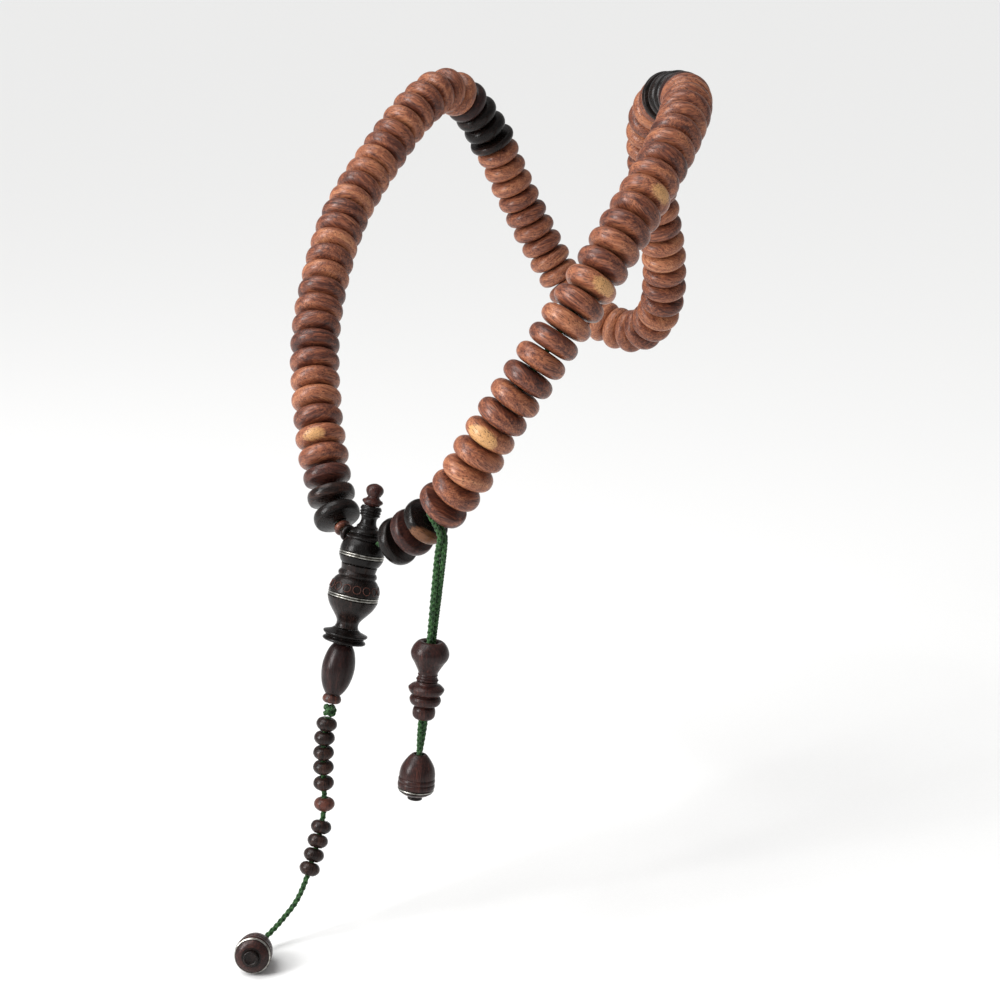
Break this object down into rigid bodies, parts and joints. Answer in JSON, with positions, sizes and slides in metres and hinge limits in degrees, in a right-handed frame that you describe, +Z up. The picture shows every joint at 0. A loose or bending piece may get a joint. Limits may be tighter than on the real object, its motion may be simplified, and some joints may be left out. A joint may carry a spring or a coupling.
{
  "type": "prayer bead loop",
  "caption": "Long loop of turned wooden prayer beads on a plaited cord, with dark dividers, a silver-banded headpiece, a tail of small counter beads and a sliding place marker.",
  "frame": {"origin": "middle of the neck or hand that carries the loop, level with the top of the beads", "axes": "+Z up, the wearer faces -Y, and the wearer's left hand is at +X"},
  "size_m": [0.1955, 0.2927, 0.3226],
  "materials": {
    "red_timber": "turned reddish-brown rosewood, fine grain, oiled satin",
    "black_timber": "turned near-black heartwood, satin polish",
    "plum_timber": "turned dark purple-brown heartwood, satin polish",
    "silver_inlay": "white metal wire inlay, polished, lightly tarnished",
    "green_cord": "plaited green cord with dark green and black threads"
  },
  "bodies": {
    "loop": {"right_beads_07_13": "red_timber", "right_beads_14_20": "red_timber", "right_beads_21_27": "red_timber", "right_beads_28_33": "red_timber", "left_beads_04_09": "red_timber", "left_beads_10_15": "red_timber", "left_beads_16_21": "red_timber", "left_beads_22_27": "red_timber", "left_beads_28_33": "red_timber", "back_beads_01_07": "red_timber", "back_beads_08_14": "red_timber", "back_beads_15_20": "red_timber", "back_beads_21_26": "red_timber", "back_beads_27_33": "red_timber", "right_divider": "black_timber", "left_divider": "black_timber", "loop_cord": "green_cord", "side_collar_dark": "black_timber", "side_collar_red": "red_timber"},
    "right_bead_01": {"right_bead_01": "black_timber"},
    "right_bead_02": {"right_bead_02": "plum_timber"},
    "right_bead_03": {"right_bead_03": "black_timber"},
    "right_bead_04": {"right_bead_04": "red_timber"},
    "right_bead_05": {"right_bead_05": "red_timber"},
    "right_bead_06": {"right_bead_06": "red_timber"},
    "left_bead_01": {"left_bead_01": "black_timber"},
    "left_bead_02": {"left_bead_02": "black_timber"},
    "left_bead_03": {"left_bead_03": "plum_timber"},
    "imam": {"imam_finial": "plum_timber", "imam_head": "black_timber", "imam_head_band": "silver_inlay", "imam_vase": "black_timber", "imam_vase_band": "silver_inlay", "imam_flange": "black_timber", "imam_foot_collar": "red_timber", "imam_core_cord": "green_cord"},
    "imam_olive": {"imam_olive": "plum_timber"},
    "tail": {"tail_knot": "green_cord", "tail_cord": "green_cord"},
    "tail_counter_01": {"tail_counter_01": "black_timber"},
    "tail_counter_02": {"tail_counter_02": "black_timber"},
    "tail_counter_03": {"tail_counter_03": "black_timber"},
    "tail_counter_04": {"tail_counter_04": "black_timber"},
    "tail_counter_05": {"tail_counter_05": "black_timber"},
    "tail_counter_06": {"tail_counter_06": "plum_timber"},
    "tail_counter_07": {"tail_counter_07": "black_timber"},
    "tail_counter_08": {"tail_counter_08": "black_timber"},
    "tail_counter_09": {"tail_counter_09": "black_timber"},
    "tail_counter_10": {"tail_counter_10": "black_timber"},
    "tail_drop": {"tail_drop": "plum_timber", "tail_drop_ring": "silver_inlay"},
    "marker": {"marker_cord": "green_cord", "marker_drop_cord": "green_cord"},
    "marker_slider": {"marker_tulip": "plum_timber", "marker_double_disc": "plum_timber", "marker_rondelle": "plum_timber"},
    "marker_drop": {"marker_drop": "plum_timber", "marker_drop_ring": "silver_inlay"}
  },
  "joints": [
    {"name": "right_bead_01_spin", "type": "hinge", "parent": "loop", "child": "right_bead_01", "pos_m": [0.03072, -0.10181, -0.15764], "axis": [0.8654, 0.2129, 0.4536], "continuous": true},
    {"name": "right_bead_02_spin", "type": "hinge", "parent": "loop", "child": "right_bead_02", "pos_m": [0.0376, -0.10058, -0.15282], "axis": [0.7758, 0.1565, 0.6113], "continuous": true},
    {"name": "right_bead_03_spin", "type": "hinge", "parent": "loop", "child": "right_bead_03", "pos_m": [0.04379, -0.0992, -0.14762], "axis": [0.7303, 0.1786, 0.6594], "continuous": true},
    {"name": "right_bead_04_spin", "type": "hinge", "parent": "loop", "child": "right_bead_04", "pos_m": [0.05099, -0.09692, -0.1402], "axis": [0.6334, 0.2491, 0.7326], "continuous": true},
    {"name": "right_bead_05_spin", "type": "hinge", "parent": "loop", "child": "right_bead_05", "pos_m": [0.05579, -0.0947, -0.13393], "axis": [0.529, 0.2889, 0.7979], "continuous": true},
    {"name": "right_bead_06_spin", "type": "hinge", "parent": "loop", "child": "right_bead_06", "pos_m": [0.05952, -0.09226, -0.12707], "axis": [0.387, 0.305, 0.8702], "continuous": true},
    {"name": "left_bead_01_spin", "type": "hinge", "parent": "loop", "child": "left_bead_01", "pos_m": [-0.00405, -0.10314, -0.15493], "axis": [0.7075, -0.2207, -0.6713], "continuous": true},
    {"name": "left_bead_02_spin", "type": "hinge", "parent": "loop", "child": "left_bead_02", "pos_m": [-0.00956, -0.10134, -0.14833], "axis": [0.5738, -0.2058, -0.7927], "continuous": true},
    {"name": "left_bead_03_spin", "type": "hinge", "parent": "loop", "child": "left_bead_03", "pos_m": [-0.01419, -0.09949, -0.14182], "axis": [0.557, -0.239, -0.7954], "continuous": true},
    {"name": "imam_swing", "type": "hinge", "parent": "loop", "child": "imam", "pos_m": [0.015, -0.105, -0.16], "axis": [-1, 0, 0], "range_deg": [0, 75]},
    {"name": "imam_olive_spin", "type": "hinge", "parent": "imam", "child": "imam_olive", "pos_m": [0.015, -0.11954, -0.20868], "axis": [0, 0.2861, 0.9582], "continuous": true},
    {"name": "tail_swing", "type": "hinge", "parent": "imam", "child": "tail", "pos_m": [0.015, -0.12422, -0.22439], "axis": [-1, 0, 0], "range_deg": [0, 60]},
    {"name": "tail_counter_01_spin", "type": "hinge", "parent": "tail", "child": "tail_counter_01", "pos_m": [0.015, -0.12566, -0.22939], "axis": [0, -0.2822, -0.9594], "continuous": true},
    {"name": "tail_counter_02_spin", "type": "hinge", "parent": "tail", "child": "tail_counter_02", "pos_m": [0.015, -0.12694, -0.23463], "axis": [0, -0.1728, -0.985], "continuous": true},
    {"name": "tail_counter_03_spin", "type": "hinge", "parent": "tail", "child": "tail_counter_03", "pos_m": [0.01495, -0.12759, -0.2411], "axis": [-0.0107, -0.0533, -0.9985], "continuous": true},
    {"name": "tail_counter_04_spin", "type": "hinge", "parent": "tail", "child": "tail_counter_04", "pos_m": [0.01494, -0.12785, -0.24719], "axis": [0.0124, -0.0443, -0.9989], "continuous": true},
    {"name": "tail_counter_05_spin", "type": "hinge", "parent": "tail", "child": "tail_counter_05", "pos_m": [0.01517, -0.12813, -0.25358], "axis": [0.0567, -0.0155, -0.9983], "continuous": true},
    {"name": "tail_counter_06_slide", "type": "slide", "parent": "tail", "child": "tail_counter_06", "axis": [-0.0905, 0.1512, 0.9844], "range_m": [0, 0.0018]},
    {"name": "tail_counter_07_slide", "type": "slide", "parent": "tail", "child": "tail_counter_07", "axis": [-0.1245, 0.3954, 0.91], "range_m": [0, 0.0025]},
    {"name": "tail_counter_08_spin", "type": "hinge", "parent": "tail", "child": "tail_counter_08", "pos_m": [0.01746, -0.13361, -0.27537], "axis": [0.1167, -0.4485, -0.8861], "continuous": true},
    {"name": "tail_counter_09_spin", "type": "hinge", "parent": "tail", "child": "tail_counter_09", "pos_m": [0.01801, -0.13608, -0.28015], "axis": [0.0861, -0.4578, -0.8849], "continuous": true},
    {"name": "tail_counter_10_spin", "type": "hinge", "parent": "tail", "child": "tail_counter_10", "pos_m": [0.01851, -0.13872, -0.28506], "axis": [0.0852, -0.4865, -0.8695], "continuous": true},
    {"name": "tail_drop_spin", "type": "hinge", "parent": "tail", "child": "tail_drop", "pos_m": [0.0193, -0.1646, -0.3076], "axis": [-0.6781, 0.7081, -0.197], "continuous": true},
    {"name": "marker_swing", "type": "hinge", "parent": "loop", "child": "marker", "pos_m": [0.04752, -0.09816, -0.14401], "axis": [-0.6731, -0.2188, -0.7064], "range_deg": [0, 70]},
    {"name": "marker_slide", "type": "slide", "parent": "marker", "child": "marker_slider", "axis": [0, 0.15, 0.9887], "range_m": [0, 0.03]},
    {"name": "marker_drop_spin", "type": "hinge", "parent": "marker", "child": "marker_drop", "pos_m": [0.05546, -0.11387, -0.23273], "axis": [0, 0.15, 0.9887], "continuous": true}
  ]
}
